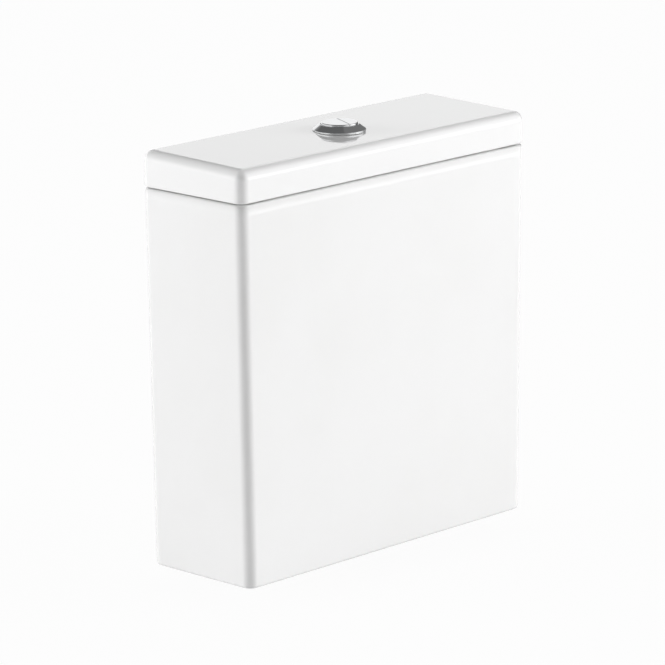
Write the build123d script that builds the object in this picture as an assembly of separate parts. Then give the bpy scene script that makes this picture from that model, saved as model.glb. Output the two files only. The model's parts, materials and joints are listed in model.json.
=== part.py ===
from build123d import *
import math
import os

# Close-coupled toilet cistern with a dual-flush button, a flush valve and a bottom-entry fill valve.
# Millimetres. X runs across the front, the front faces -Y and Z is up.
# The origin is on the axis of the flush outlet, in the plane of the china foot rim.

# China tank and lid
tank_width = 390.0
tank_depth = 132.0
end_taper = 5.0
face_taper = 0.5
axis_offset = 3.0
total_height = 400.0
lid_height = 33.2
lid_overhang = 0.5
wall = 9.0
corner_radius = 10.0
inner_corner_radius = 14.0
foot_edge_radius = 3.0
rim_edge_radius = 2.0
floor_thickness = 10.0
floor_recess = 20.0
lid_top_thickness = 9.5
lid_top_radius = 9.5
lid_fall_share = 0.025
lid_edge_radius = 2.0
lid_hollow_radius = 8.0
lug_length = 30.0
lug_thickness = 6.0
lug_drop = 8.0
lug_rise = 12.0
lug_clearance = 2.0
lug_radius = 1.5
lug_inset = 75.0
pad_thickness = 0.8
pad_length = 18.0
pad_width = 4.0
pad_inset = 45.0
overrun = 1.0
thread_clearance = 0.1
running_clearance = 0.05
slide_clearance = 0.3

# Flush button in the lid
button_turn = -24.4
lid_hole_radius = 21.5
flange_radius = 25.4
flange_edge = 1.0
flange_rise = 5.8
flange_crest = 0.9
bezel_gasket_thickness = 0.6
bezel_gasket_inset = 1.5
barrel_radius = 20.2
barrel_wall = 2.1
barrel_length = 48.6
plate_clearance = 0.4
plate_height = 7.6
plate_thickness = 3.0
plate_wall = 1.5
plate_skirt = 15.2
plate_edge_radius = 0.8
plate_split = 3.9
split_gap = 0.5
button_travel = 7.0
rod_offset = 9.8
rod_radius = 2.5
rod_boss_radius = 3.7
rod_foot_radius = 4.0
rod_foot_height = 2.7
rod_nut_across = 7.0
rod_nut_height = 4.0
carrier_lip = 2.0
carrier_floor = 4.0
carrier_tube_radius = 4.4
carrier_tube_height = 20.0
spring_coil_radius = 3.4
spring_wire_radius = 0.35
spring_turns = 6
bezel_nut_width = 7.0
bezel_nut_height = 9.0
bezel_nut_ribs = 12
bezel_nut_rib_radius = 1.6

# Flush valve, outlet end
outlet_radius = 25.0
tail_radius = 29.8
tail_drop = 11.0
outlet_hole_radius = 32.0
seat_flange_radius = 40.0
seat_flange_thickness = 5.0
seat_gasket_thickness = 3.0
seat_gasket_inset = 1.0
seat_lip_height = 4.0
seat_lip_inner_radius = 26.0
seat_lip_outer_radius = 28.6
seat_lip_edge = 1.0
back_nut_radius = 39.0
back_nut_height = 9.0
back_nut_lugs = 6
back_nut_lug_width = 10.0
back_nut_lug_depth = 3.5
coupling_seal_wall = 5.4
coupling_seal_tip_radius = 36.0
coupling_seal_drop = 7.0
coupling_seal_shoulder = 3.0
coupling_seal_clearance = 0.4

# Flush valve, basket and tower
basket_radius = 36.0
basket_wall = 2.5
basket_height = 50.0
basket_windows = 6
basket_window_width = 22.0
basket_window_bottom = 8.0
basket_window_top = 10.0
guide_ring_wall = 2.2
guide_ring_height = 5.0
guide_spoke_width = 3.0
guide_spokes = 3
frame_ring_height = 5.0
upright_width = 12.0
upright_thickness = 3.0
mid_guide_clearance = 2.0
head_radius = 37.0
head_thickness = 4.0
head_window_radius = 7.0
head_bush_radius = 5.6
head_bush_rise = 3.0
ear_gap = 0.4
ear_thickness = 2.2
ear_radius = 3.4

# Flush valve, rocker train
pivot_drop = 68.0
pivot_pin_radius = 1.6
rocker_in_arm = 9.5
rocker_out_arm = 11.0
rocker_half_swing = math.degrees(math.asin(button_travel / 2 / rocker_in_arm))
rocker_thickness = 4.0
rocker_tip_radius = 1.5
rocker_hub_radius = 3.2
rocker_gap = 0.6
tappet_radius = 3.0
tappet_head_radius = 5.5
tappet_head_thickness = 3.0
tappet_head_clearance = 1.0

# Flush valve, stem and floats
stem_radius = 13.0
stem_bore_radius = 10.5
overflow_drop = 16.0
stem_disc_radius = 30.0
stem_disc_thickness = 3.0
seal_radius = 31.0
seal_thickness = 3.0
seal_gap = 0.3
clamp_across = 30.0
clamp_height = 3.5
float_radius = 28.0
float_wall = 1.8
stem_float_gap = 4.0
stem_float_height = 34.0
float_clearance = 2.0
half_float_height = 30.0
yoke_drop = 36.0
yoke_collar_height = 8.0
yoke_collar_wall = 3.5
lifter_width = 6.0
lifter_thickness = 2.5
lifter_arm_height = 5.0
lifter_gap = 0.5
nose_radius = 1.5
nose_offset = 0.75

# Fill valve
fill_offset = -115.0
inlet_thread_radius = 10.48
inlet_bore_radius = 6.0
inlet_drop = 16.0
inlet_groove_depth = 0.8
inlet_groove_width = 1.5
inlet_groove_height = 9.0
fill_hole_clearance = 1.5
shank_flange_radius = 19.0
shank_flange_thickness = 4.0
shank_gasket_thickness = 3.0
fill_nut_across = 30.0
fill_nut_height = 8.0
shank_tube_radius = 9.5
shank_tube_insert = 70.0
filter_length = 24.0
filter_wall = 1.0
filter_slots = 6
filter_slot_width = 1.6
riser_bottom = 60.0
riser_radius = 12.5
lock_ring_radius = 16.0
lock_ring_height = 12.0
lock_ring_ribs = 16
lock_ring_rib_radius = 0.9
fill_head_drop = 104.0
fill_head_height = 29.0
fill_head_radius = 18.6
fill_seat_depth = 2.6
diaphragm_radius = 16.5
diaphragm_thickness = 2.0
fill_cap_radius = 21.0
fill_cap_height = 24.0
fill_cap_top_thickness = 11.0
fill_cap_ribs = 18
fill_cap_rib_radius = 1.0
nozzle_radius = 2.6
nozzle_height = 4.0
nozzle_bore_radius = 0.8
arm_tail = 12.0
arm_reach = 29.0
arm_thickness = 4.0
arm_width = 4.4
arm_hub_radius = 3.4
arm_pin_radius = 1.5
arm_fork_gap = 5.2
arm_fork_wall = 2.0
arm_fork_length = 11.0
plug_radius = 2.0
plug_length = 2.2
plug_gap = 0.4
float_travel = 16.0
arm_half_swing = math.degrees(math.asin(float_travel / 2 / arm_reach))
cup_radius = 32.0
cup_inner_radius = 14.0
cup_wall = 1.8
cup_drop = 216.0
cup_height = 55.0
cup_boss_radius = 3.6
cup_boss_height = 12.0
adjuster_radius = 2.0
adjuster_collar_radius = 4.4
adjuster_collar_height = 3.0
adjuster_collar_gap = 0.5
adjuster_tip = 3.5
adjuster_insert = 10.0

# Bolts that draw the tank onto the pan
bolt_offset = 80.0
bolt_radius = 4.1
bolt_thread_radius = 3.9
bolt_head_across = 16.0
bolt_head_height = 5.5
bolt_drop = 21.0
bolt_thread_length = 21.5
bolt_tip_chamfer = 0.8
bolt_hole_radius = 5.5
bolt_washer_radius = 12.0
bolt_washer_thickness = 4.0
bolt_plate_thickness = 1.6
bolt_lock_nut_across = 13.0
bolt_lock_nut_height = 5.0
wing_nut_radius = 6.5
wing_nut_height = 7.0
wing_span = 15.0
wing_thickness = 2.4
wing_drop = 1.5

# Heights and places that follow from the sizes above
foot_width = tank_width - 2 * end_taper
foot_depth = tank_depth - 2 * face_taper
seat_gasket_radius = seat_flange_radius - seat_gasket_inset
floor_space = foot_depth / 2 - wall - axis_offset - seat_gasket_radius
floor_corner_radius = floor_space * inner_corner_radius / (floor_space + inner_corner_radius)
lug_offset = tank_width / 2 - lug_inset
pad_offset = tank_width / 2 - pad_inset
floor_top = floor_recess + floor_thickness
rim_height = total_height - lid_height - pad_thickness
lid_bottom = total_height - lid_height
seat_bottom = floor_top + seat_gasket_thickness
seat_top = seat_bottom + seat_flange_thickness
lip_top = seat_top + seat_lip_height
seal_bottom = lip_top + seal_gap
disc_bottom = seal_bottom + seal_thickness
basket_top = seat_top + basket_height
frame_bottom = basket_top
swing_sine = math.sin(math.radians(rocker_half_swing))
swing_cosine = math.cos(math.radians(rocker_half_swing))
stem_lift = 2 * rocker_out_arm * swing_sine
stem_float_bottom = basket_top + stem_float_gap
half_float_bottom = stem_float_bottom + stem_float_height + stem_lift + float_clearance
half_float_top = half_float_bottom + half_float_height
mid_guide_bottom = half_float_top + lifter_arm_height + stem_lift + mid_guide_clearance
pivot_height = rim_height - pivot_drop
overflow_height = pivot_height - overflow_drop
yoke_bottom = pivot_height - yoke_drop
pivot_offset = rod_offset + rocker_in_arm
tip_height = pivot_height - rocker_out_arm * swing_sine
nose_height = tip_height + rocker_tip_radius + rocker_gap + nose_radius
nose_place = pivot_offset + rocker_out_arm * swing_cosine + nose_offset
lifter_place = pivot_offset + rocker_out_arm + rocker_tip_radius + lifter_gap
nose_top = nose_height + nose_radius
head_bottom = nose_top + stem_lift + tappet_head_clearance + rocker_hub_radius + ear_thickness
head_top = head_bottom + head_thickness
bush_top = head_top + head_bush_rise
tappet_bottom = pivot_height + rocker_in_arm * swing_sine + rocker_tip_radius + rocker_gap
tappet_head_bottom = bush_top + button_travel + tappet_head_clearance
tappet_top = tappet_head_bottom + tappet_head_thickness
flange_bottom = total_height + bezel_gasket_thickness
bezel_top = flange_bottom + flange_rise
barrel_bottom = flange_bottom - barrel_length
barrel_bore = barrel_radius - barrel_wall
plate_radius = barrel_bore - plate_clearance
plate_top = flange_bottom + plate_height
plate_bottom = plate_top - plate_skirt
carrier_top = barrel_bottom + carrier_floor
guide_top = barrel_bottom + carrier_tube_height
lid_underside = total_height - lid_top_thickness
back_nut_bottom = floor_recess - back_nut_height
seal_pocket_radius = back_nut_radius + coupling_seal_clearance
coupling_seal_radius = seal_pocket_radius + coupling_seal_wall
shank_bottom = floor_top + shank_gasket_thickness
shank_tube_top = riser_bottom + shank_tube_insert
fill_head_bottom = rim_height - fill_head_drop
fill_head_top = fill_head_bottom + fill_head_height
cap_top = fill_head_top + diaphragm_thickness + fill_cap_top_thickness
cup_bottom = rim_height - cup_drop
cup_top = cup_bottom + cup_height
arm_sine = math.sin(math.radians(arm_half_swing))
arm_cosine = math.cos(math.radians(arm_half_swing))
plug_drop = arm_tail * arm_sine + (arm_thickness / 2 + plug_length) * arm_cosine + plug_radius * arm_sine
arm_height = cap_top + nozzle_height + plug_gap + plug_drop
adjuster_place = arm_reach * (1 + arm_cosine) / 2


# Solid of revolution about Z, from an outline of radii and heights
def turned(*outline):
    points = [(radius, 0, height) for radius, height in outline]
    return revolve(make_face(Polyline(*points, close=True)), Axis.Z)


def ring(outer, inner, bottom, top):
    return turned((inner, bottom), (outer, bottom), (outer, top), (inner, top))


def rod(radius, bottom, top):
    low = (Align.CENTER, Align.CENTER, Align.MIN)
    return Pos(0, 0, bottom) * Cylinder(radius, top - bottom, align=low)


def hexagon(across, bottom, top):
    corner = across / math.sqrt(3)
    return Pos(0, 0, bottom) * extrude(RegularPolygon(corner, 6), top - bottom)


# Box between two corners
def block(x_span, y_span, z_span):
    size = [high - low for low, high in (x_span, y_span, z_span)]
    middle = [(high + low) / 2 for low, high in (x_span, y_span, z_span)]
    return Pos(*middle) * Box(*size)


# Copies of one cutter or rib, evenly round Z
def around(shape, count, start=0):
    return [Rot(0, 0, start + 360 / count * index) * shape for index in range(count)]


def joined(first, others):
    for other in others:
        first = first + other
    return first


def without(first, others):
    for other in others:
        first = first - other
    return first


# Straight bar with round ends, lying along X in the XZ plane and centred across Y
def bar(start, end, radius, width):
    middle = block((start, end), (-width / 2, width / 2), (-radius, radius))
    flat = Rot(90, 0, 0)
    for place in (start, end):
        middle = middle + Pos(place, 0, 0) * flat * Cylinder(radius, width)
    return middle


def crosswise(radius, length):
    return Rot(90, 0, 0) * Cylinder(radius, length)


# Helical spring round the rod's place, from one flat seat to the other
def spring(bottom, top):
    height = top - bottom - 2 * spring_wire_radius
    pitch = height / spring_turns
    path = Helix(pitch, height, spring_coil_radius)
    start = path @ 0
    section = Plane(start, z_dir=path % 0) * Circle(spring_wire_radius)
    return Pos(0, 0, bottom + spring_wire_radius) * sweep(section, path=path)


# Rounded rectangle of the tank's plan at a height, drawn in from the outside by an inset
def tank_plan(height, inset, radius):
    rise = height / rim_height
    width = foot_width + (tank_width - foot_width) * rise - 2 * inset
    depth = foot_depth + (tank_depth - foot_depth) * rise - 2 * inset
    return Pos(0, axis_offset, height) * RectangleRounded(width, depth, radius)


# Plane parallel to the lid's top, which falls towards the front, through a height on the outlet axis
def sloping_plane(height):
    return Plane(origin=(0, 0, height), z_dir=(0, -lid_fall_share, 1))


def make_tank():
    outer = loft([tank_plan(0, 0, corner_radius), tank_plan(rim_height, 0, corner_radius)])
    outer = fillet(outer.edges().group_by(Axis.Z)[0], foot_edge_radius)
    outer = fillet(outer.edges().group_by(Axis.Z)[-1], rim_edge_radius)
    low = tank_plan(floor_top, wall, inner_corner_radius)
    high = tank_plan(rim_height + overrun, wall, inner_corner_radius)
    hollow = loft([low, high])
    hollow = fillet(hollow.edges().group_by(Axis.Z)[0], floor_corner_radius)
    low = tank_plan(-overrun, wall, inner_corner_radius)
    high = tank_plan(floor_recess, wall, inner_corner_radius)
    underside = loft([low, high])
    tank = outer - hollow - underside
    tank = tank - rod(outlet_hole_radius, 0, floor_top + overrun)
    fill_hole = rod(inlet_thread_radius + fill_hole_clearance, 0, floor_top + overrun)
    tank = tank - Pos(fill_offset, 0, 0) * fill_hole
    for side in (-1, 1):
        bolt_hole = rod(bolt_hole_radius, 0, floor_top + overrun)
        tank = tank - Pos(side * bolt_offset, 0, 0) * bolt_hole
    return tank


def make_lid():
    width = tank_width + 2 * lid_overhang
    depth = tank_depth + 2 * lid_overhang
    plan = Pos(0, axis_offset, lid_bottom) * RectangleRounded(width, depth, corner_radius)
    lid = extrude(plan, lid_height + depth * lid_fall_share)
    lid = split(lid, bisect_by=sloping_plane(total_height), keep=Keep.BOTTOM)
    lid = fillet(lid.faces().sort_by(Axis.Z)[-1].edges(), lid_top_radius)
    lid = fillet(lid.edges().group_by(Axis.Z)[0], lid_edge_radius)
    inner_width = tank_width - 2 * wall
    inner_depth = tank_depth - 2 * wall
    plan = RectangleRounded(inner_width, inner_depth, inner_corner_radius)
    plan = Pos(0, axis_offset, lid_bottom - overrun) * plan
    hollow = extrude(plan, lid_height - lid_top_thickness + overrun)
    hollow = fillet(hollow.edges().group_by(Axis.Z)[-1], lid_hollow_radius)
    lid = lid - hollow
    outer_face = inner_depth / 2 - lug_clearance
    inner_face = outer_face - lug_thickness
    half = lug_length / 2
    lug_top = lid_bottom + lug_rise
    low = block((-half, half), (inner_face, outer_face), (lid_bottom - lug_drop, lug_top))
    low = fillet(low.edges().filter_by(Axis.X).group_by(Axis.Z)[0], lug_radius)
    web = (outer_face - lug_radius, inner_depth / 2 + overrun)
    high = block((-half, half), web, (lid_bottom + lug_radius, lug_top))
    lug = low + high
    for side in (-1, 1):
        for turn in (0, 180):
            place = Pos(0, axis_offset, 0) * Rot(0, 0, turn) * Pos(side * lug_offset, 0, 0)
            lid = lid + place * lug
    return lid - rod(lid_hole_radius, lid_bottom, total_height + overrun)


def make_lid_pads():
    half = pad_length / 2
    low = tank_depth / 2 - wall + rim_edge_radius / 2
    pad = block((-half, half), (low, low + pad_width), (rim_height, lid_bottom))
    pads = []
    for side in (-1, 1):
        for turn in (0, 180):
            place = Pos(0, axis_offset, 0) * Rot(0, 0, turn) * Pos(side * pad_offset, 0, 0)
            pads.append(place * pad)
    return Compound(children=pads)


def make_bezel():
    crest = barrel_bore + flange_crest
    flange = turned(
        (barrel_bore, flange_bottom - overrun),
        (flange_radius, flange_bottom - overrun),
        (flange_radius, flange_bottom + flange_edge),
        (crest, bezel_top),
        (barrel_bore, bezel_top),
    )
    flange = split(flange, bisect_by=sloping_plane(flange_bottom), keep=Keep.TOP)
    return flange + ring(barrel_radius, barrel_bore, barrel_bottom, flange_bottom + flange_edge)


def make_bezel_gasket():
    outer = flange_radius - bezel_gasket_inset
    gasket = ring(outer, lid_hole_radius, total_height - overrun, flange_bottom + overrun)
    gasket = split(gasket, bisect_by=sloping_plane(total_height), keep=Keep.TOP)
    return split(gasket, bisect_by=sloping_plane(flange_bottom), keep=Keep.BOTTOM)


def make_bezel_nut():
    inner = barrel_radius + thread_clearance
    outer = inner + bezel_nut_width
    top = lid_underside
    nut = turned(
        (inner, top - bezel_nut_height),
        (outer - bezel_nut_width / 3, top - bezel_nut_height),
        (outer - bezel_nut_width / 3, top - bezel_nut_height / 3),
        (outer, top - bezel_nut_height / 3),
        (outer, top),
        (inner, top),
    )
    rib = rod(bezel_nut_rib_radius, top - bezel_nut_height, top - bezel_nut_height / 4)
    rib = Pos(outer - bezel_nut_width / 3, 0, 0) * rib
    return joined(nut, around(rib, bezel_nut_ribs))


# Guide floor that snaps into the barrel, with a sleeve for each push rod
def make_carrier():
    carrier = turned(
        (0, barrel_bottom - carrier_lip),
        (barrel_radius, barrel_bottom - carrier_lip),
        (barrel_radius, barrel_bottom),
        (barrel_bore - thread_clearance, barrel_bottom),
        (barrel_bore - thread_clearance, carrier_top),
        (0, carrier_top),
    )
    bottom = barrel_bottom - carrier_lip - overrun
    bore = rod(rod_radius + running_clearance, bottom, guide_top + overrun)
    for side in (-1, 1):
        place = Pos(side * rod_offset, 0, 0)
        carrier = carrier + place * rod(carrier_tube_radius, barrel_bottom, guide_top)
        carrier = carrier - place * bore
    return carrier


# One of the two button plates, a skirted segment of the split disc; side 1 is the smaller plate
def make_plate(side):
    cut = side * (plate_split + side * split_gap / 2)
    half = Pos(cut + plate_radius, 0) * Rectangle(2 * plate_radius, 2 * plate_radius)
    inner_half = Pos(plate_wall, 0) * half
    outline = Circle(plate_radius) & half
    inner = Circle(plate_radius - plate_wall) & inner_half
    plate = Pos(0, 0, plate_bottom) * extrude(outline, plate_skirt)
    plate = fillet(plate.edges().group_by(Axis.Z)[-1], plate_edge_radius)
    depth = plate_skirt - plate_thickness
    plate = plate - Pos(0, 0, plate_bottom - overrun) * extrude(inner, depth + overrun)
    boss = rod(rod_boss_radius, plate_bottom, plate_top - plate_thickness)
    bore = rod(rod_radius + thread_clearance, plate_bottom - overrun, plate_top - plate_thickness)
    place = Pos(rod_offset, 0, 0)
    return plate + place * boss - place * bore


def make_push_rod():
    foot_bottom = tappet_top + slide_clearance
    foot_top = foot_bottom + rod_foot_height
    shaft = rod(rod_radius, foot_top, plate_top - plate_thickness)
    foot = rod(rod_foot_radius, foot_bottom, foot_top)
    foot = fillet(foot.edges().group_by(Axis.Z)[0], rod_foot_height / 3)
    return Pos(rod_offset, 0, 0) * (shaft + foot)


def make_rod_nut():
    nut = hexagon(rod_nut_across, plate_bottom - rod_nut_height, plate_bottom)
    nut = nut - rod(rod_radius + thread_clearance, 0, plate_top)
    return Pos(rod_offset, 0, 0) * nut


def make_button_spring():
    return Pos(rod_offset, 0, 0) * spring(guide_top, plate_bottom - rod_nut_height)


def make_valve_seat():
    return turned(
        (outlet_radius, -tail_drop),
        (tail_radius, -tail_drop),
        (tail_radius, seat_bottom),
        (seat_flange_radius, seat_bottom),
        (seat_flange_radius, seat_top),
        (seat_lip_outer_radius, seat_top),
        (seat_lip_inner_radius + seat_lip_edge, lip_top),
        (seat_lip_inner_radius, lip_top),
        (seat_lip_inner_radius, seat_top),
        (outlet_radius, seat_top),
    )


def make_seat_gasket():
    return ring(seat_gasket_radius, tail_radius + slide_clearance, floor_top, seat_bottom)


def make_back_nut():
    nut = ring(back_nut_radius, tail_radius + thread_clearance, back_nut_bottom, floor_recess)
    half = back_nut_lug_width / 2
    notch = block(
        (back_nut_radius - back_nut_lug_depth, back_nut_radius + overrun),
        (-half, half),
        (back_nut_bottom - overrun, floor_recess - back_nut_height / 4),
    )
    return without(nut, around(notch, back_nut_lugs))


# Thick sponge ring over the back nut, which seals the tank to the pan
def make_coupling_seal():
    bore = tail_radius + coupling_seal_clearance
    return turned(
        (bore, -coupling_seal_drop),
        (coupling_seal_tip_radius, -coupling_seal_drop),
        (coupling_seal_radius, coupling_seal_shoulder),
        (coupling_seal_radius, floor_recess),
        (seal_pocket_radius, floor_recess),
        (seal_pocket_radius, back_nut_bottom),
        (bore, back_nut_bottom),
    )


# Ring that guides the stem, held by spokes
def guide_ring(bottom, reach, count, start):
    inner = stem_radius + slide_clearance
    top = bottom + guide_ring_height
    guide = ring(inner + guide_ring_wall, inner, bottom, top)
    half = guide_spoke_width / 2
    spoke = block((inner + guide_ring_wall / 2, reach), (-half, half), (bottom, top))
    return joined(guide, around(spoke, count, start))


def make_basket():
    inner = basket_radius - basket_wall
    basket = ring(basket_radius, inner, seat_top, basket_top)
    half = basket_window_width / 2
    window = block(
        (inner - 2 * overrun, basket_radius + overrun),
        (-half, half),
        (seat_top + basket_window_bottom, basket_top - basket_window_top),
    )
    window = fillet(window.edges().filter_by(Axis.X), half / 2)
    basket = without(basket, around(window, basket_windows))
    guide_bottom = basket_top - guide_ring_height
    return basket + guide_ring(guide_bottom, inner + basket_wall / 2, guide_spokes, 90)


def make_tower_frame():
    inner = basket_radius - upright_thickness
    frame = ring(basket_radius, inner, frame_bottom, frame_bottom + frame_ring_height)
    half = upright_width / 2
    tall = block((inner, basket_radius), (-half, half), (frame_bottom, head_bottom))
    reach = inner + upright_thickness / 2
    frame = joined(frame, around(tall, 2, 90))
    return frame + guide_ring(mid_guide_bottom, reach, 2, 90)


# Head plate with the tappet bushes on top and the pivot ears below
def make_tower_head():
    head = rod(head_radius, head_bottom, head_top)
    bore = rod(tappet_radius + running_clearance, head_bottom - overrun, bush_top + overrun)
    ear_inner = rocker_thickness / 2 + ear_gap
    ear_outer = ear_inner + ear_thickness
    window = rod(head_window_radius, head_bottom - overrun, head_top + overrun)
    window_place = head_radius - upright_thickness - 2 * head_window_radius
    for side in (-1, 1):
        rod_place = Pos(side * rod_offset, 0, 0)
        head = head + rod_place * rod(head_bush_radius, head_bottom, bush_top)
        head = head - rod_place * bore
        head = head - Pos(0, side * window_place, 0) * window
        for face in (-1, 1):
            spans = sorted((face * ear_inner, face * ear_outer))
            span = (side * pivot_offset - ear_radius, side * pivot_offset + ear_radius)
            ear = block(span, spans, (pivot_height, head_bottom + head_thickness / 2))
            middle = face * (ear_inner + ear_outer) / 2
            foot = crosswise(ear_radius, ear_thickness)
            head = head + ear + Pos(side * pivot_offset, middle, pivot_height) * foot
        hole = crosswise(pivot_pin_radius + running_clearance, 4 * ear_outer)
        head = head - Pos(side * pivot_offset, 0, pivot_height) * hole
    return head


def make_rocker_pins():
    length = rocker_thickness + 2 * (ear_gap + ear_thickness)
    pin = Pos(pivot_offset, 0, pivot_height) * crosswise(pivot_pin_radius, length)
    return Compound(children=around(pin, 2))


# Lever that turns a tappet's push into a lift, on the +X side of the valve
def make_rocker():
    arm = bar(-rocker_in_arm, rocker_out_arm, rocker_tip_radius, rocker_thickness)
    arm = arm + crosswise(rocker_hub_radius, rocker_thickness)
    arm = arm - crosswise(pivot_pin_radius + running_clearance, rocker_thickness + overrun)
    return Pos(pivot_offset, 0, pivot_height) * Rot(0, rocker_half_swing, 0) * arm


def make_tappet():
    shaft = rod(tappet_radius, tappet_bottom + tappet_radius, tappet_head_bottom)
    nose = Pos(0, 0, tappet_bottom + tappet_radius) * Sphere(tappet_radius)
    head = rod(tappet_head_radius, tappet_head_bottom, tappet_top)
    head = fillet(head.edges().group_by(Axis.Z)[-1], tappet_head_thickness / 4)
    return Pos(rod_offset, 0, 0) * (shaft + nose + head)


# Hollow stem: the overflow tube, with the disc that carries the seal at its foot
def make_stem():
    bottom = seal_bottom - clamp_height
    disc_top = disc_bottom + stem_disc_thickness
    return turned(
        (stem_bore_radius, bottom),
        (stem_radius, bottom),
        (stem_radius, disc_bottom),
        (stem_disc_radius, disc_bottom),
        (stem_disc_radius, disc_top),
        (stem_radius + stem_disc_thickness, disc_top),
        (stem_radius, disc_top + stem_disc_thickness),
        (stem_radius, overflow_height),
        (stem_bore_radius, overflow_height),
    )


def make_flush_seal():
    return ring(seal_radius, stem_radius + thread_clearance, seal_bottom, disc_bottom)


def make_seal_clamp():
    nut = hexagon(clamp_across, seal_bottom - clamp_height, seal_bottom)
    return nut - rod(stem_radius + thread_clearance, 0, disc_bottom)


# Inverted float cup round the stem: closed on top, open below, with a long hub
def float_cup(bottom, height, hub_inner, outer, wall_thickness):
    top = bottom + height
    hub = hub_inner + wall_thickness
    return turned(
        (hub_inner, bottom),
        (hub, bottom),
        (hub, top - wall_thickness),
        (outer - wall_thickness, top - wall_thickness),
        (outer - wall_thickness, bottom),
        (outer, bottom),
        (outer, top - wall_thickness),
        (outer - wall_thickness, top),
        (hub_inner, top),
    )


def make_stem_float():
    inner = stem_radius + thread_clearance
    return float_cup(stem_float_bottom, stem_float_height, inner, float_radius, float_wall)


def make_half_float():
    inner = stem_radius + slide_clearance
    return float_cup(half_float_bottom, half_float_height, inner, float_radius, float_wall)


# Arm, riser and round nose that a rocker's outer end lifts, on the +X side
def lifter(arm_start, arm_bottom):
    half = lifter_width / 2
    outer = lifter_place + lifter_thickness
    arm = block((arm_start, outer), (-half, half), (arm_bottom, arm_bottom + lifter_arm_height))
    tall = block((lifter_place, outer), (-half, half), (arm_bottom, nose_top))
    nose = bar(nose_place, lifter_place + nose_radius, nose_radius, lifter_width)
    nose = Pos(0, 0, nose_height) * nose
    return arm + tall + nose


def make_stem_yoke():
    inner = stem_radius + thread_clearance
    outer = stem_radius + yoke_collar_wall
    collar = ring(outer, inner, yoke_bottom, yoke_bottom + yoke_collar_height)
    return collar + lifter(stem_radius + yoke_collar_wall / 2, yoke_bottom)


def make_half_lifter():
    inner = stem_radius + slide_clearance
    outer = inner + yoke_collar_wall
    collar = ring(outer, inner, half_float_top, half_float_top + lifter_arm_height)
    return collar + lifter(inner + yoke_collar_wall / 2, half_float_top)


def make_fill_shank():
    groove = inlet_thread_radius - inlet_groove_depth
    shank = turned(
        (inlet_bore_radius, -inlet_drop),
        (inlet_thread_radius, -inlet_drop),
        (inlet_thread_radius, inlet_groove_height),
        (groove, inlet_groove_height),
        (groove, inlet_groove_height + inlet_groove_width),
        (inlet_thread_radius, inlet_groove_height + inlet_groove_width),
        (inlet_thread_radius, shank_bottom),
        (shank_flange_radius, shank_bottom),
        (shank_flange_radius, shank_bottom + shank_flange_thickness),
        (shank_tube_radius, shank_bottom + 2 * shank_flange_thickness),
        (shank_tube_radius, shank_tube_top),
        (inlet_bore_radius, shank_tube_top),
    )
    return Pos(fill_offset, 0, 0) * shank


def make_shank_gasket():
    gasket = ring(shank_flange_radius, inlet_thread_radius + thread_clearance, floor_top, shank_bottom)
    return Pos(fill_offset, 0, 0) * gasket


def make_fill_nut():
    nut = hexagon(fill_nut_across, floor_recess - fill_nut_height, floor_recess)
    nut = nut - rod(inlet_thread_radius + thread_clearance, 0, floor_top)
    return Pos(fill_offset, 0, 0) * nut


# Slotted thimble that keeps grit out of the valve
def make_inlet_filter():
    outer = inlet_bore_radius - thread_clearance
    bottom = -inlet_drop + filter_wall
    top = bottom + filter_length
    thimble = turned(
        (outer - filter_wall, bottom),
        (outer, bottom),
        (outer, bottom + 2 * filter_wall),
        (outer - filter_wall, top),
        (0, top),
        (0, top - filter_wall),
        (outer - 2 * filter_wall, top - filter_wall),
    )
    half = filter_slot_width / 2
    span = (bottom + filter_length / 4, top - filter_length / 4)
    slot = block((0, inlet_bore_radius), (-half, half), span)
    thimble = without(thimble, around(slot, filter_slots))
    return Pos(fill_offset, 0, 0) * thimble


def make_fill_riser():
    inner = shank_tube_radius + thread_clearance
    return Pos(fill_offset, 0, 0) * ring(riser_radius, inner, riser_bottom, fill_head_bottom)


def make_lock_ring():
    inner = riser_radius + thread_clearance
    top = riser_bottom + lock_ring_height
    grip = ring(lock_ring_radius, inner, riser_bottom, top)
    rib = Pos(lock_ring_radius, 0, 0) * rod(lock_ring_rib_radius, riser_bottom, top)
    return Pos(fill_offset, 0, 0) * joined(grip, around(rib, lock_ring_ribs))


def make_fill_head():
    shoulder = fill_head_bottom + fill_head_radius - shank_tube_radius
    head = turned(
        (inlet_bore_radius, fill_head_bottom),
        (riser_radius, fill_head_bottom),
        (fill_head_radius, shoulder),
        (fill_head_radius, fill_head_top),
        (riser_radius, fill_head_top),
        (riser_radius - fill_seat_depth, fill_head_top - fill_seat_depth),
        (inlet_bore_radius, fill_head_top - fill_seat_depth),
    )
    return Pos(fill_offset, 0, 0) * head


def make_diaphragm():
    top = fill_head_top + diaphragm_thickness
    return Pos(fill_offset, 0, 0) * rod(diaphragm_radius, fill_head_top, top)


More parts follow.
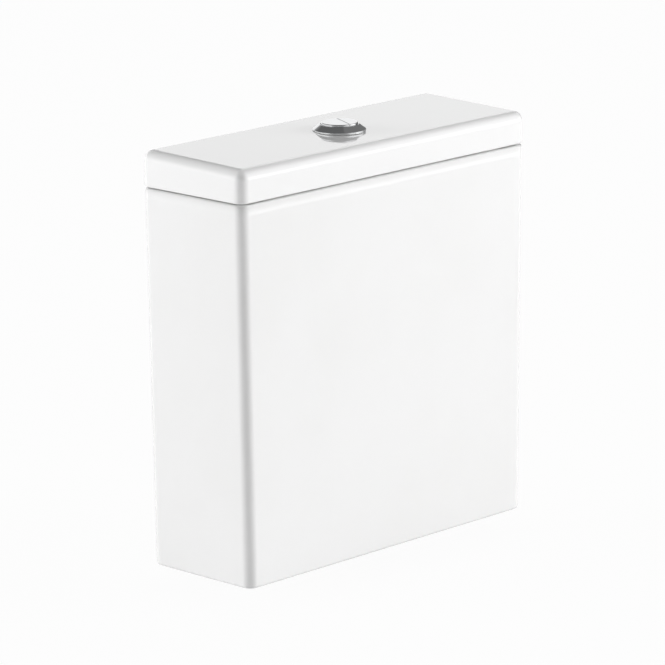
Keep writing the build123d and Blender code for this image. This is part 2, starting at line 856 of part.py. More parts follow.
# Screw cap with a ribbed skirt, the pilot nozzle and the two ears of the float arm
def make_fill_cap():
    inner = fill_head_radius + thread_clearance
    under = fill_head_top + diaphragm_thickness
    bottom = cap_top - fill_cap_height
    cap = turned(
        (inner, bottom),
        (fill_cap_radius, bottom),
        (fill_cap_radius, cap_top - fill_cap_rib_radius),
        (fill_cap_radius - fill_cap_rib_radius, cap_top),
        (0, cap_top),
        (0, under),
        (inner, under),
    )
    rib = rod(fill_cap_rib_radius, bottom, cap_top - 2 * fill_cap_rib_radius)
    rib = Pos(fill_cap_radius - fill_cap_rib_radius / 4, 0, 0) * rib
    cap = joined(cap, around(rib, fill_cap_ribs))
    nozzle = rod(nozzle_radius, cap_top - nozzle_radius, cap_top + nozzle_height)
    cap = cap + Pos(-arm_tail, 0, 0) * nozzle
    cap = cap - Pos(-arm_tail, 0, 0) * rod(nozzle_bore_radius, under - overrun, arm_height)
    ear_inner = arm_width / 2 + ear_gap
    ear_outer = ear_inner + ear_thickness
    for face in (-1, 1):
        spans = sorted((face * ear_inner, face * ear_outer))
        ear = block((-arm_hub_radius, arm_hub_radius), spans, (cap_top - ear_thickness, arm_height))
        middle = face * (ear_inner + ear_outer) / 2
        cap = cap + ear + Pos(0, middle, arm_height) * crosswise(arm_hub_radius, ear_thickness)
    cap = cap - Pos(0, 0, arm_height) * crosswise(arm_pin_radius, 4 * ear_outer)
    return Pos(fill_offset, 0, 0) * cap


def make_arm_pin():
    length = arm_width + 2 * (ear_gap + ear_thickness)
    return Pos(fill_offset, 0, arm_height) * crosswise(arm_pin_radius, length)


# Float arm: tail over the nozzle, hub on the pin and an open fork round the adjusting rod
def make_float_arm():
    half = arm_thickness / 2
    fork_start = arm_reach - arm_fork_length / 2
    fork_width = arm_fork_gap + 2 * arm_fork_wall
    arm = bar(-arm_tail, fork_start, half, arm_width)
    arm = arm + crosswise(arm_hub_radius, arm_width)
    fork_span = (fork_start - arm_fork_wall, fork_start + arm_fork_length)
    fork = block(fork_span, (-fork_width / 2, fork_width / 2), (-half, half))
    mouth_span = (fork_start + arm_fork_wall / 2, arm_reach + arm_fork_length)
    mouth = block(mouth_span, (-arm_fork_gap / 2, arm_fork_gap / 2), (-arm_thickness, arm_thickness))
    arm = arm + fork - mouth
    arm = arm - crosswise(arm_pin_radius + running_clearance, arm_width + overrun)
    return Pos(fill_offset, 0, arm_height) * Rot(0, arm_half_swing, 0) * arm


def make_pilot_plug():
    half = arm_thickness / 2
    plug = Pos(-arm_tail, 0, 0) * rod(plug_radius, -half - plug_length, -half)
    return Pos(fill_offset, 0, arm_height) * Rot(0, arm_half_swing, 0) * plug


def make_fill_float():
    cup = float_cup(cup_bottom, cup_height, cup_inner_radius, cup_radius, cup_wall)
    boss = rod(cup_boss_radius, cup_top - cup_boss_height, cup_top + cup_wall)
    bore = rod(adjuster_radius + thread_clearance, cup_top - adjuster_insert, cup_top + cup_boss_height)
    bound = rod(cup_radius, cup_bottom, cup_top + cup_boss_height)
    place = Pos(adjuster_place, 0, 0)
    cup = cup + (place * boss & bound) - place * bore
    return Pos(fill_offset, 0, 0) * cup


# Threaded rod between float and arm; its two collars hold the fork between them
def make_adjusting_rod():
    fork_height = arm_height - arm_reach * arm_sine
    reach = (arm_thickness / 2 + adjuster_collar_radius * arm_sine) / arm_cosine
    reach = reach + adjuster_collar_gap
    top = fork_height + reach + adjuster_collar_height
    shaft = rod(adjuster_radius, cup_top - adjuster_insert, top + adjuster_tip)
    low = rod(adjuster_collar_radius, fork_height - reach - adjuster_collar_height, fork_height - reach)
    high = rod(adjuster_collar_radius, fork_height + reach, top)
    return Pos(fill_offset + adjuster_place, 0, 0) * (shaft + low + high)


# The same fastener at both coupling bolts
def bolt_pair(make_one):
    pair = [Pos(side * bolt_offset, 0, 0) * make_one() for side in (-1, 1)]
    return Compound(children=pair)


def bolt():
    head_bottom = floor_top + bolt_washer_thickness
    shank_end = bolt_thread_length - bolt_drop
    shank = rod(bolt_radius, shank_end, head_bottom)
    thread = rod(bolt_thread_radius, -bolt_drop, shank_end)
    thread = chamfer(thread.edges().group_by(Axis.Z)[0], bolt_tip_chamfer)
    return shank + thread + hexagon(bolt_head_across, head_bottom, head_bottom + bolt_head_height)


def bolt_washer():
    spread = bolt_washer_radius - bolt_washer_thickness / 2
    inner = bolt_radius + thread_clearance
    top = floor_top + bolt_washer_thickness
    return turned((inner, floor_top), (bolt_washer_radius, floor_top), (spread, top), (inner, top))


def bolt_plate_washer():
    inner = bolt_radius + thread_clearance
    return ring(bolt_washer_radius, inner, floor_recess - bolt_plate_thickness, floor_recess)


def bolt_lock_nut():
    top = floor_recess - bolt_plate_thickness
    nut = hexagon(bolt_lock_nut_across, top - bolt_lock_nut_height, top)
    return nut - rod(bolt_radius + thread_clearance, 0, floor_top)


def wing_nut():
    top = floor_recess - bolt_plate_thickness - bolt_lock_nut_height
    bottom = top - wing_nut_height
    nut = turned((0, bottom), (wing_nut_radius - wing_drop, bottom), (wing_nut_radius, top), (0, top))
    half = wing_thickness / 2
    points = [
        (0, top - wing_drop),
        (wing_span, bottom - wing_drop),
        (wing_span, bottom + wing_nut_height / 2),
        (wing_nut_radius, top),
        (0, top),
    ]
    outline = make_face(Polyline(*[(x, 0, z) for x, z in points], close=True))
    wing = extrude(outline, half, both=True)
    nut = joined(nut, around(wing, 2))
    return nut - rod(bolt_radius + thread_clearance, bottom - 4 * wing_drop, floor_top)


# Pieces in the turn of the button and the flush valve; the full flush is at -X before the turn
def valve_turn(shape):
    return Rot(0, 0, button_turn) * shape


def full_side(shape):
    return Rot(0, 0, 180) * shape


def build_nodes():
    nodes = {
        "tank": make_tank(),
        "lid": make_lid(),
        "lid_pads": make_lid_pads(),
        "button_bezel": make_bezel(),
        "bezel_gasket": make_bezel_gasket(),
        "bezel_nut": make_bezel_nut(),
        "button_carrier": valve_turn(make_carrier()),
        "full_flush_button": valve_turn(full_side(make_plate(-1))),
        "half_flush_button": valve_turn(make_plate(1)),
        "flush_valve_seat": make_valve_seat(),
        "seat_gasket": make_seat_gasket(),
        "flush_back_nut": make_back_nut(),
        "coupling_seal": make_coupling_seal(),
        "flush_basket": valve_turn(make_basket()),
        "tower_frame": valve_turn(make_tower_frame()),
        "tower_head": valve_turn(make_tower_head()),
        "rocker_pins": valve_turn(make_rocker_pins()),
        "overflow_stem": make_stem(),
        "flush_seal": make_flush_seal(),
        "seal_clamp": make_seal_clamp(),
        "stem_float": make_stem_float(),
        "stem_yoke": valve_turn(full_side(make_stem_yoke())),
        "half_flush_float": make_half_float(),
        "half_flush_lifter": valve_turn(make_half_lifter()),
        "fill_shank": make_fill_shank(),
        "shank_gasket": make_shank_gasket(),
        "fill_back_nut": make_fill_nut(),
        "inlet_filter": make_inlet_filter(),
        "fill_riser": make_fill_riser(),
        "riser_lock_ring": make_lock_ring(),
        "fill_valve_head": make_fill_head(),
        "fill_diaphragm": make_diaphragm(),
        "fill_valve_cap": make_fill_cap(),
        "float_arm_pin": make_arm_pin(),
        "float_arm": make_float_arm(),
        "pilot_plug": make_pilot_plug(),
        "fill_float": make_fill_float(),
        "float_adjusting_rod": make_adjusting_rod(),
        "coupling_bolts": bolt_pair(bolt),
        "bolt_sealing_washers": bolt_pair(bolt_washer),
        "bolt_plate_washers": bolt_pair(bolt_plate_washer),
        "bolt_lock_nuts": bolt_pair(bolt_lock_nut),
        "wing_nuts": bolt_pair(wing_nut),
    }
    train = {
        "push_rod": make_push_rod(),
        "rod_lock_nut": make_rod_nut(),
        "button_spring": make_button_spring(),
        "tappet": make_tappet(),
        "rocker": make_rocker(),
    }
    for name, shape in train.items():
        nodes["half_" + name] = valve_turn(shape)
        nodes["full_" + name] = valve_turn(full_side(shape))
    return nodes


os.makedirs("parts", exist_ok=True)
for node, solid in build_nodes().items():
    export_step(solid, "parts/" + node + ".step")
    print(node, round(solid.volume), "mm3")
coil_gap = (plate_bottom - rod_nut_height - guide_top) / spring_turns - 2 * spring_wire_radius
print("least gap between spring turns", round(coil_gap, 2), "mm")
print("stem lift", round(stem_lift, 3), "mm, rocker swing", round(2 * rocker_half_swing, 3), "degrees")
print("float arm swing", round(2 * arm_half_swing, 3), "degrees")
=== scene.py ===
import bpy
import json
import math
from mathutils import Matrix, Vector


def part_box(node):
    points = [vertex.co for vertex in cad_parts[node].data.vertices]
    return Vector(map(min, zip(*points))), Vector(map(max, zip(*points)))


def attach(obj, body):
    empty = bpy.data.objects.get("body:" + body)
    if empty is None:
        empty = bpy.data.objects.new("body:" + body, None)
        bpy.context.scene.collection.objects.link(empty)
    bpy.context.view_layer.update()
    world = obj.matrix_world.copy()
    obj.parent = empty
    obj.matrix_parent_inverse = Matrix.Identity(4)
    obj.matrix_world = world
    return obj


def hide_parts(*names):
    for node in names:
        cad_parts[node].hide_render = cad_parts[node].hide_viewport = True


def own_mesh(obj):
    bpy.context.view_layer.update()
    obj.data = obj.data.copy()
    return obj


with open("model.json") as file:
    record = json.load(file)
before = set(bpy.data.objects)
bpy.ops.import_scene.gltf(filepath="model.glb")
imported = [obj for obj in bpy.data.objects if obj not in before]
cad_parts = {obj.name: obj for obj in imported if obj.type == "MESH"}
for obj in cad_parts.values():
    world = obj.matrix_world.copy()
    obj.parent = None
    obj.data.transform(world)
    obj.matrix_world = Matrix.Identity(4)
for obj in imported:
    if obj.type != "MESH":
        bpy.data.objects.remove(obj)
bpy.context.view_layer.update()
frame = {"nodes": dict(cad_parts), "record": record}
print("frame loaded:", len(frame["nodes"]), "pieces")

mm = 0.001


def readBox(node):
    return [Vector(corner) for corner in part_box(node)]


# Camera: where the photograph was taken from
view = {
    "imageWidth": 665,            # pixels
    "focal": 4549.1,              # pixels
    "shiftRight": 6.48,           # pixels
    "shiftDown": 2.05,            # pixels
    "sensorWidth": 36,            # a camera's lens and sensor are in plain millimetres
    "yaw": 46.064,                # degrees from +Y towards +X
    "pitch": 13.678,              # degrees below the horizon
    "roll": -0.555,               # degrees
    "aim": (0, 3 * mm, 200 * mm),
    "distance": 4361.6 * mm,
    "farthest": 50,               # metres
}


def makeCamera():
    yaw, pitch, roll = [math.radians(view[key]) for key in ("yaw", "pitch", "roll")]
    ahead = Vector((math.sin(yaw) * math.cos(pitch), math.cos(yaw) * math.cos(pitch), -math.sin(pitch)))
    right = ahead.cross(Vector((0, 0, 1))).normalized()
    up = right.cross(ahead)
    turnedRight = right * math.cos(roll) + up * math.sin(roll)
    turnedUp = up * math.cos(roll) - right * math.sin(roll)
    data = bpy.data.cameras.new("camera")
    data.sensor_width = view["sensorWidth"]
    data.lens = view["focal"] / view["imageWidth"] * view["sensorWidth"]
    data.shift_x = -view["shiftRight"] / view["imageWidth"]
    data.shift_y = view["shiftDown"] / view["imageWidth"]
    data.clip_end = view["farthest"]
    camera = bpy.data.objects.new("camera", data)
    bpy.context.scene.collection.objects.link(camera)
    place = Vector(view["aim"]) - ahead * view["distance"]
    turn = Matrix((turnedRight, turnedUp, -ahead)).transposed()
    camera.matrix_world = Matrix.Translation(place) @ turn.to_4x4()
    bpy.context.scene.camera = camera


makeCamera()
bpy.context.scene.view_settings.view_transform = "Standard"
print("camera placed")


# Shader tools: a socket that does sums, and a material that adds nodes
class Value:
    def __init__(self, shader, socket):
        self.shader = shader
        self.socket = socket

    def sum(self, operation, first, second):
        return self.shader.add("ShaderNodeMath", {"operation": operation}, {0: first, 1: second})

    def __add__(self, other):
        return self.sum("ADD", self, other)

    def __radd__(self, other):
        return self.sum("ADD", other, self)

    def __sub__(self, other):
        return self.sum("SUBTRACT", self, other)

    def __rsub__(self, other):
        return self.sum("SUBTRACT", other, self)

    def __mul__(self, other):
        return self.sum("MULTIPLY", self, other)

    def __rmul__(self, other):
        return self.sum("MULTIPLY", other, self)

    def __truediv__(self, other):
        return self.sum("DIVIDE", self, other)

    def __rtruediv__(self, other):
        return self.sum("DIVIDE", other, self)


class Shader:
    def __init__(self, name, world=False):
        owner = bpy.context.scene.world if world else bpy.data.materials.new(name)
        owner.use_nodes = True
        self.owner = owner
        self.tree = owner.node_tree
        self.tree.nodes.clear()
        kind = "ShaderNodeOutputWorld" if world else "ShaderNodeOutputMaterial"
        self.output = self.tree.nodes.new(kind)

    def add(self, kind, settings=None, inputs=None, out=0):
        node = self.tree.nodes.new(kind)
        for key, value in (settings or {}).items():
            setattr(node, key, value)
        for key, value in (inputs or {}).items():
            if isinstance(value, Value):
                self.tree.links.new(value.socket, node.inputs[key])
            else:
                node.inputs[key].default_value = value
        return Value(self, node.outputs[out])

    def noise(self, place, scale, detail=3.0):
        return self.add("ShaderNodeTexNoise", inputs={"Vector": place, "Scale": scale, "Detail": detail})

    def place(self, scale=(1, 1, 1)):
        place = self.add("ShaderNodeTexCoord", out="Object")
        return self.add("ShaderNodeMapping", inputs={"Vector": place, "Scale": scale})

    def parts(self, place):
        node = self.add("ShaderNodeSeparateXYZ", inputs={0: place}).socket.node
        return [Value(self, socket) for socket in node.outputs]

    def between(self, value, span):
        return self.add("ShaderNodeMapRange", {"interpolation_type": "SMOOTHSTEP"},
                        {"Value": value, "From Min": span[0], "From Max": span[1]})

    # A Mix node's colour sockets are numbers 6 and 7, and its colour output is number 2
    def blend(self, factor, first, second):
        return self.add("ShaderNodeMix", {"data_type": "RGBA"}, {0: factor, 6: first, 7: second}, out=2)

    def bump(self, height, strength, distance, under=None):
        inputs = {"Height": height, "Strength": strength, "Distance": distance}
        if under:
            inputs["Normal"] = under
        return self.add("ShaderNodeBump", inputs=inputs)

    # Two masks: 1 where the camera looks straight at this shader, and 1 where it is mirrored in something
    def rays(self):
        node = self.add("ShaderNodeLightPath").socket.node
        return [Value(self, node.outputs[kind]) for kind in ("Is Camera Ray", "Is Glossy Ray")]

    def show(self, surface):
        self.tree.links.new(surface.socket, self.output.inputs["Surface"])
        return self.owner

    def surface(self, **inputs):
        named = {key.replace("_", " "): value for key, value in inputs.items()}
        return self.show(self.add("ShaderNodeBsdfPrincipled", inputs=named))


def colour(red, green, blue):
    return (red, green, blue, 1)


def fade(tint, share, lift=0.0):
    return tuple(share * part + lift for part in tint[:3]) + (1,)


# White glaze: faint cloudiness, a slow waviness and a fine orange peel. The foot rim is left unglazed, and
# the glaze draws back in a slow curve over the tank's rim and the lid's edge. Noise scales count per metre
china = {
    "white": colour(0.91, 0.91, 0.91),
    "warm": colour(0.895, 0.894, 0.891),
    "lidWhite": colour(0.94, 0.94, 0.94),    # the lid is given a slightly whiter tint than the tank
    "lidShare": 0.8,
    "bare": colour(0.80, 0.78, 0.74),
    "bareSpan": (0.4 * mm, 0.8 * mm),
    "bareRoughness": 0.6,
    "cloudScale": 9.0,
    "cloudSpan": (0.35, 0.75),
    "peelScale": 160.0,
    "peelRoughness": 0.03,
    "peelShare": 0.06,            # of the wave's height
    "waveScale": 22.0,
    "waveStrength": 0.10,
    "waveHeight": 0.6 * mm,
    "roughness": 0.07,
    "coatRoughness": 0.03,
    "index": 1.52,
    "rimTop": 366.0 * mm,
    "rimCurve": 12.0 * mm,
    "rimDepth": 3.6 * mm,
    "lidTop": 402.0 * mm,
    "lidCurve": 20.0 * mm,
    "lidDepth": 2.0 * mm,
    "seamSpan": (0.2 * mm, 0.3 * mm),        # above a top, where its curve ends and the next piece begins
}


def spanAbove(top):
    return [top + step for step in china["seamSpan"]]


def makeChina():
    shader = Shader("china")
    place = shader.place()
    cloud = shader.noise(place, china["cloudScale"])
    peel = shader.noise(place, china["peelScale"], detail=2.0)
    wave = shader.noise(place, china["waveScale"], detail=1.0)
    height = shader.parts(place)[2]
    bare = 1 - shader.between(height, china["bareSpan"])
    glaze = shader.blend(shader.between(cloud, china["cloudSpan"]), china["white"], china["warm"])
    onLid = shader.between(height, spanAbove(china["rimTop"]))
    glaze = shader.blend(onLid * china["lidShare"], glaze, china["lidWhite"])
    drawn = 0.0
    for edge in ("rim", "lid"):
        top, reach, depth = [china[edge + key] for key in ("Top", "Curve", "Depth")]
        rise = (height - (top - reach)) / reach
        rise = shader.add("ShaderNodeMath", {"operation": "MAXIMUM"}, {0: rise, 1: 0.0})
        below = 1 - shader.between(height, spanAbove(top))
        drawn = rise * rise * below * depth + drawn
    relief = shader.bump(wave + peel * china["peelShare"], china["waveStrength"], china["waveHeight"])
    relief = shader.bump(1 - drawn, 1.0, 1.0, relief)        # drawn is in metres already
    rough = china["roughness"] + peel * china["peelRoughness"] + bare * china["bareRoughness"]
    return shader.surface(Base_Color=shader.blend(bare, glaze, china["bare"]), Roughness=rough,
                          Coat_Weight=1.0, Coat_Roughness=china["coatRoughness"], IOR=china["index"],
                          Normal=relief)


# Chrome plate: faint polishing haze
chrome = {
    "tint": colour(0.80, 0.81, 0.82),
    "roughness": 0.045,
    "hazeScale": 260.0,
    "hazeRoughness": 0.05,
    "rubScale": (900, 900, 60),
    "rubStrength": 0.02,
    "rubHeight": 0.05 * mm,
}


def makeChrome():
    shader = Shader("chrome")
    haze = shader.noise(shader.place(), chrome["hazeScale"], detail=4.0)
    rub = shader.noise(shader.place(chrome["rubScale"]), 1.0, detail=2.0)
    relief = shader.bump(rub, chrome["rubStrength"], chrome["rubHeight"])
    return shader.surface(Base_Color=chrome["tint"], Metallic=1.0,
                          Roughness=chrome["roughness"] + haze * chrome["hazeRoughness"], Normal=relief)


# Moulded plastic: a fine spark-eroded grain and a slight drift of colour
plastics = {
    "white_plastic": (colour(0.80, 0.80, 0.78), 0.32),
    "grey_plastic": (colour(0.20, 0.215, 0.23), 0.42),
    "blue_plastic": (colour(0.035, 0.13, 0.42), 0.34),
    "green_plastic": (colour(0.045, 0.30, 0.11), 0.34),
}
mould = {
    "driftScale": 30.0,
    "driftShare": 0.88,           # the tint's brightness where it is darkest
    "grainScale": 1400.0,
    "grainStrength": 0.12,
    "grainHeight": 0.08 * mm,
    "grainRoughness": 0.12,
}


def makePlastic(name, tint, roughness):
    shader = Shader(name)
    place = shader.place()
    drift = shader.noise(place, mould["driftScale"])
    grain = shader.noise(place, mould["grainScale"], detail=2.0)
    relief = shader.bump(grain, mould["grainStrength"], mould["grainHeight"])
    return shader.surface(Base_Color=shader.blend(drift, tint, fade(tint, mould["driftShare"])),
                          Roughness=roughness + grain * mould["grainRoughness"], Normal=relief)


# Rubber and silicone: dull, with a dusty bloom
rubbers = {
    "black_rubber": (colour(0.018, 0.018, 0.019), 0.72),
    "seal_silicone": (colour(0.32, 0.035, 0.025), 0.52),
    "clear_silicone": (colour(0.62, 0.62, 0.60), 0.45),
}
dust = {
    "bloomScale": 70.0,
    "bloomShare": 0.6,            # how much of the tint is left under the bloom
    "bloomLift": 0.02,
    "bloomRoughness": 0.12,
    "grainScale": 900.0,
    "grainStrength": 0.3,
    "grainHeight": 0.1 * mm,
}


def makeRubber(name, tint, roughness):
    shader = Shader(name)
    place = shader.place()
    bloom = shader.noise(place, dust["bloomScale"], detail=5.0)
    grain = shader.noise(place, dust["grainScale"])
    dusty = fade(tint, dust["bloomShare"], dust["bloomLift"])
    relief = shader.bump(grain, dust["grainStrength"], dust["grainHeight"])
    return shader.surface(Base_Color=shader.blend(bloom, tint, dusty),
                          Roughness=roughness + bloom * dust["bloomRoughness"], Normal=relief)


# Turned metal: fine rings left by the tool
metals = {
    "steel": (colour(0.56, 0.56, 0.55), 0.26),
    "brass": (colour(0.66, 0.47, 0.18), 0.24),
}
turning = {
    "ringScale": (40, 40, 2600),
    "ringStrength": 0.12,
    "ringHeight": 0.05 * mm,
    "ringRoughness": 0.18,
    "stainScale": 60.0,
    "stainSpan": (0.4, 0.8),
    "stainShare": 0.72,           # the tint's brightness in a stain
}


def makeMetal(name, tint, roughness):
    shader = Shader(name)
    ring = shader.noise(shader.place(turning["ringScale"]), 1.0, detail=4.0)
    stain = shader.noise(shader.place(), turning["stainScale"], detail=4.0)
    stain = shader.between(stain, turning["stainSpan"])
    relief = shader.bump(ring, turning["ringStrength"], turning["ringHeight"])
    return shader.surface(Base_Color=shader.blend(stain, tint, fade(tint, turning["stainShare"])),
                          Metallic=1.0, Roughness=roughness + ring * turning["ringRoughness"],
                          Normal=relief)


finishes = {"china": makeChina(), "chrome": makeChrome()}
for make, kinds in ((makePlastic, plastics), (makeRubber, rubbers), (makeMetal, metals)):
    for name, (tint, roughness) in kinds.items():
        finishes[name] = make(name, tint, roughness)


def paint(piece, name):
    piece.data.materials.clear()
    piece.data.materials.append(finishes[name])


for part in frame["record"]["subparts"]:
    paint(frame["nodes"][part["node"]], part["material_slot"])
print("finishes made:", len(finishes))


# Modelling tools: a wire or ridge wound round Z, moved to its place in its mesh and closed at both ends
mergeDistance = 0.001 * mm


def deselect():
    bpy.ops.object.select_all(action="DESELECT")


def editMesh(piece):
    deselect()
    piece.select_set(True)
    bpy.context.view_layer.objects.active = piece
    bpy.ops.object.mode_set(mode="EDIT")
    bpy.ops.mesh.select_mode(type="VERT")
    bpy.ops.mesh.select_all(action="SELECT")


def endEdit():
    bpy.ops.object.mode_set(mode="OBJECT")
    deselect()


def makeWound(name, sides, size, radius, place, pitch, turns, steps, body, finish):
    deselect()
    bpy.ops.mesh.primitive_circle_add(vertices=sides, radius=1, rotation=(math.pi / 2, math.pi / 2, 0))
    piece = bpy.context.object
    piece.name = name
    bpy.ops.object.transform_apply(location=True, rotation=True, scale=True)
    editMesh(piece)
    bpy.ops.transform.resize(value=(size[0], 1, size[1]), center_override=(0, 0, 0))
    bpy.ops.transform.translate(value=(radius, 0, 0))
    endEdit()
    wind = piece.modifiers.new("wind", "SCREW")
    wind.angle = 2 * math.pi
    wind.screw_offset = pitch
    wind.iterations = turns
    wind.steps = wind.render_steps = steps
    bpy.context.view_layer.objects.active = piece
    bpy.ops.object.modifier_apply(modifier=wind.name)
    editMesh(piece)
    bpy.ops.transform.translate(value=place)
    bpy.ops.mesh.remove_doubles(threshold=mergeDistance)
    bpy.ops.mesh.select_mode(type="EDGE")
    bpy.ops.mesh.select_all(action="DESELECT")
    bpy.ops.mesh.select_non_manifold()
    bpy.ops.mesh.fill_holes(sides=sides)
    bpy.ops.mesh.select_all(action="SELECT")
    bpy.ops.mesh.normals_make_consistent(inside=False)
    endEdit()
    paint(piece, finish)
    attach(piece, body)
    return piece


# Button springs: closed end turns and an open middle
springs = {
    "coilRadius": 3.4 * mm,
    "wireRadius": 0.35 * mm,
    "wireSides": 10,
    "openTurns": 5,
    "closedPitch": 2.04,          # wire radii from one closed turn to the next
    "steps": 28,
    "travel": 7.0 * mm,
}


def makeSpring(side):
    low, high = readBox(side + "_button_spring")
    middle = (low + high) / 2
    wire = springs["wireRadius"]
    closed = springs["closedPitch"] * wire
    start = low.z + wire
    openPitch = (high.z - low.z - 2 * wire - 2 * closed) / springs["openTurns"]
    turns = [(start, closed, 1), (start + closed, openPitch, springs["openTurns"]),
             (high.z - wire - closed, closed, 1)]
    coils = []
    for index, (height, pitch, count) in enumerate(turns):
        place = (middle.x, middle.y, height)
        coils.append(makeWound(side + "Spring" + str(index), springs["wireSides"], (wire, wire),
                               springs["coilRadius"], place, pitch, count, springs["steps"],
                               "lid_set", "steel"))
    deselect()
    for piece in coils:
        piece.select_set(True)
    coil = coils[0]
    bpy.context.view_layer.objects.active = coil
    bpy.ops.object.join()
    coil.name = side + "ButtonCoil"
    editMesh(coil)
    bpy.ops.mesh.faces_shade_smooth()
    endEdit()
    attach(coil, "lid_set")
    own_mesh(coil)
    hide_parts(side + "_button_spring")


for side in ("full", "half"):
    makeSpring(side)
print("springs wound")


# Threads, in millimetres: each ridge starts just inside its rod and keeps clear of the nut that runs on it
boltThread = {"node": "coupling_bolts", "radius": 3.9, "bottom": -20.0, "pitch": 1.25, "turns": 15,
              "depth": 0.2, "body": "cistern", "finish": "steel", "steps": 40}
threads = {
    "outletThread": {"node": "flush_valve_seat", "radius": 29.8, "bottom": -10.0, "pitch": 2.3, "turns": 8,
                     "depth": 0.35, "body": "cistern", "finish": "white_plastic", "steps": 96},
    "inletThread": {"node": "fill_shank", "radius": 10.48, "bottom": -15.0, "pitch": 1.8, "turns": 12,
                    "depth": 0.18, "body": "cistern", "finish": "white_plastic", "steps": 64},
    "barrelThread": {"node": "button_bezel", "radius": 20.2, "bottom": 353.5, "pitch": 2.4, "turns": 11,
                     "depth": 0.45, "body": "lid_set", "finish": "chrome", "steps": 96},
    "boltThreadLeft": dict(boltThread, shift=-80),
    "boltThreadRight": dict(boltThread, shift=80),
}
ridge = {
    "root": 0.05 * mm,            # how far the ridge starts inside its rod
    "width": 0.8,                 # share of the pitch
    "sides": 3,
    "unitHeight": 1.5,            # height and width of a three-sided circle of radius 1
    "unitWidth": 1.732,
}


def makeThread(name, thread):
    low, high = readBox(thread["node"])
    centre = (low + high) / 2
    pitch = thread["pitch"] * mm
    size = ((thread["depth"] * mm + ridge["root"]) / ridge["unitHeight"],
            pitch * ridge["width"] / ridge["unitWidth"])
    radius = thread["radius"] * mm - ridge["root"] + size[0] / 2
    place = (centre.x + thread.get("shift", 0) * mm, centre.y, thread["bottom"] * mm)
    piece = makeWound(name, ridge["sides"], size, radius, place, pitch, thread["turns"], thread["steps"],
                      thread["body"], thread["finish"])


for name, thread in threads.items():
    makeThread(name, thread)
print("threads cut:", len(threads))


# Lamps: a soft one on either side of the object and a weak one overhead, all at one distance, in metres
lampDistance = 7.0
lamps = {
    "lampRight": {"towards": (0.66, -0.75, 0.06), "size": 4.7, "power": 704},
    "lampLeft": {"towards": (-0.76, 0.64, 0.04), "size": 4.2, "power": 645},
    "lampTop": {"towards": (0.42, 0.30, 0.85), "size": 5.1, "power": 82},
}


def makeLamp(name, lamp):
    data = bpy.data.lights.new(name, "AREA")
    data.shape = "SQUARE"
    data.size = lamp["size"]
    data.energy = lamp["power"]
    shown = bpy.data.objects.new(name, data)
    bpy.context.scene.collection.objects.link(shown)
    towards = Vector(lamp["towards"]).normalized()
    shown.location = towards * lampDistance + Vector(view["aim"])
    shown.rotation_euler = towards.to_track_quat("Z", "Y").to_euler()
    shown.visible_camera = False
    shown.visible_glossy = False


# Room: white to the camera and even to matt things. Mirrored, it is white up to a low height, with a dim
# ceiling between two bright sides, a dim doorway, a dim end behind the camera and a bright patch low on
# the right. A span gives the two shares of a direction between which something comes in
room = {
    "white": 1.0,
    "level": 0.30,
    "ceilingLevel": 0.13,
    "darkLevel": 0.19,            # the doorway and the end behind the camera
    "patchLevel": 1.6,
    "patchTowards": (0.77, -0.64, 0.06),
    "patchSpan": (0.93, 0.985),
    "patchTop": (0.10, 0.19),
    "behindSpan": (0.55, 0.9),
    "rightSpan": (0.26, 0.44),
    "rightLean": 0.5,             # how far the right side also reaches to the front
    "rightTop": (0.6, 0.82),
    "leftSpan": (0.45, 0.65),
    "leftTop": (0.05, 0.6),
    "ceilingSpan": (0.30, 0.40),
    "doorwaySpan": (0.18, 0.31),
    "doorwayBack": (-0.3, -0.15),
}


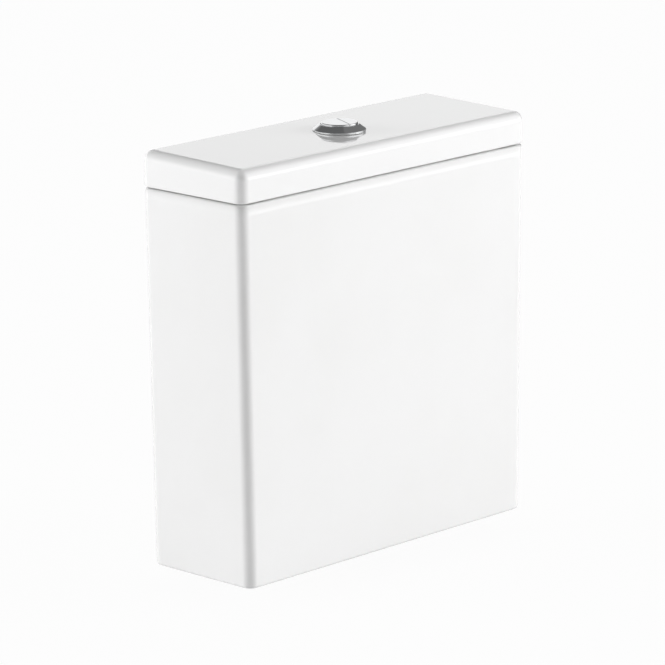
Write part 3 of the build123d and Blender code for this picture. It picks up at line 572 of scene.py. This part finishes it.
def makeWorld():
    bpy.context.scene.world = bpy.data.worlds.new("studio")
    shader = Shader("studio", True)
    ways = shader.add("ShaderNodeTexCoord", out="Generated")
    alongX, alongY, alongZ = shader.parts(ways)

    def below(height):
        return 1 - shader.between(alongZ, height)

    yaw = math.radians(view["yaw"])
    behindCamera = shader.between(alongX * -math.sin(yaw) + alongY * -math.cos(yaw), room["behindSpan"])
    right = shader.between(alongX - alongY * room["rightLean"], room["rightSpan"])
    right = right * below(room["rightTop"])
    left = shader.between(alongY - alongX, room["leftSpan"]) * below(room["leftTop"])
    ceiling = shader.between(alongZ, room["ceilingSpan"]) * (1 - (right + left))
    doorway = shader.between(alongX - alongY, room["doorwaySpan"])
    doorway = doorway * shader.between(alongY, room["doorwayBack"])
    clear = (1 - behindCamera) * (1 - doorway)
    towardsX, towardsY, towardsZ = room["patchTowards"]
    patch = shader.between(alongX * towardsX + alongY * towardsY + alongZ * towardsZ, room["patchSpan"])
    patch = patch * below(room["patchTop"])
    seen, mirrored = shader.rays()
    reflection = clear * (1 - ceiling) * (room["white"] - room["ceilingLevel"])
    reflection = reflection + patch * room["patchLevel"] + room["ceilingLevel"]
    reflection = reflection + (1 - clear) * (room["darkLevel"] - room["ceilingLevel"])
    light = (1 - mirrored) * room["level"] + mirrored * reflection
    strength = seen * room["white"] + (1 - seen) * light
    back = shader.add("ShaderNodeBackground", inputs={"Color": colour(1, 1, 1), "Strength": strength})
    shader.show(back)


# Floor: pale and matt, and nearly white to the camera and in mirrored rays
floor = {
    "height": -21.5 * mm,
    "size": 12.0,
    "tone": 0.72,
    "mirroredShare": 0.85,
    "mirroredLevel": 0.82,
    "seenShare": 0.96,
    "seenLevel": 1.0,
}


def makeFloor():
    deselect()
    bpy.ops.mesh.primitive_plane_add(size=floor["size"], location=(0, 0, floor["height"]))
    plane = bpy.context.object
    plane.name = "studioFloor"
    bpy.ops.object.transform_apply(location=True, rotation=True, scale=True)
    shader = Shader("paleFloor")
    seen, mirrored = shader.rays()
    tone = floor["tone"]
    mixed = shader.add("ShaderNodeBsdfDiffuse", inputs={"Color": colour(tone, tone, tone)})
    for mask, key in ((mirrored, "mirrored"), (seen, "seen")):
        glow = shader.add("ShaderNodeEmission",
                          inputs={"Color": colour(1, 1, 1), "Strength": floor[key + "Level"]})
        mixed = shader.add("ShaderNodeMixShader",
                           inputs={0: mask * floor[key + "Share"], 1: mixed, 2: glow})
    plane.data.materials.append(shader.show(mixed))


for name, lamp in lamps.items():
    makeLamp(name, lamp)
makeWorld()
makeFloor()
print("studio made")
